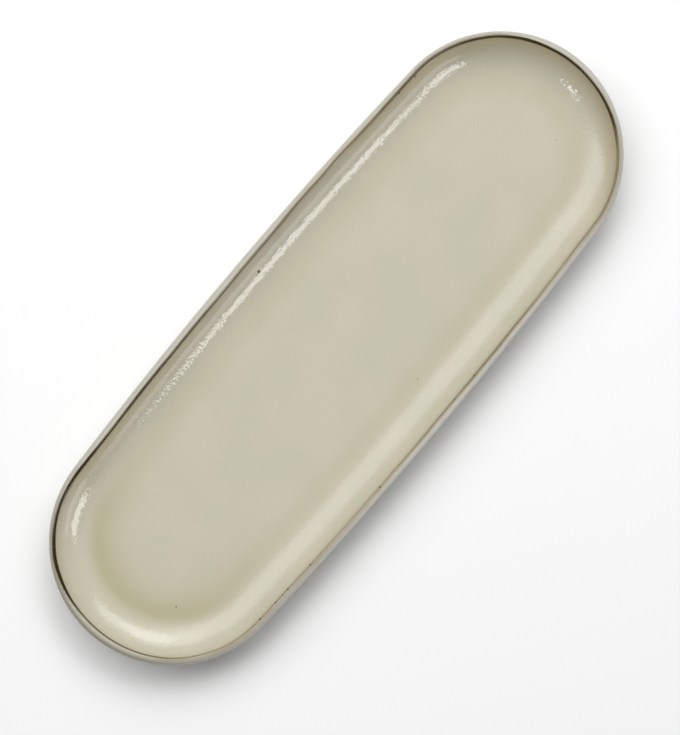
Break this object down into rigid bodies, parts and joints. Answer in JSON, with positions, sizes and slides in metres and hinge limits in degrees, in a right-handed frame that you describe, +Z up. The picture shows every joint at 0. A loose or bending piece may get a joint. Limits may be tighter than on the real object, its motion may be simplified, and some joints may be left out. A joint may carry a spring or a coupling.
{
  "type": "asparagus plate",
  "caption": "Long oval glazed stoneware plate with a raised coved wall, a rounded lip with a thin brown edge, and a low foot ring.",
  "frame": {"origin": "centre of the plane that the foot ring stands on", "axes": "+X along the plate, +Y across it, +Z up out of the well"},
  "size_m": [0.445, 0.1534, 0.024],
  "materials": {
    "bare_stoneware": "fired, unglazed, matt and slightly gritty",
    "cream_glaze": "glossy glaze with faint orange peel and soft mottling",
    "brown_glaze": "glossy iron brown where the glaze is thin",
    "iron_spot": "dark, slightly rough iron specks"
  },
  "bodies": {
    "root": {"clay_body": "bare_stoneware", "well_glaze": "cream_glaze", "outer_glaze": "cream_glaze", "base_glaze": "cream_glaze", "rim_band": "brown_glaze", "iron_spots": "iron_spot"}
  },
  "joints": []
}
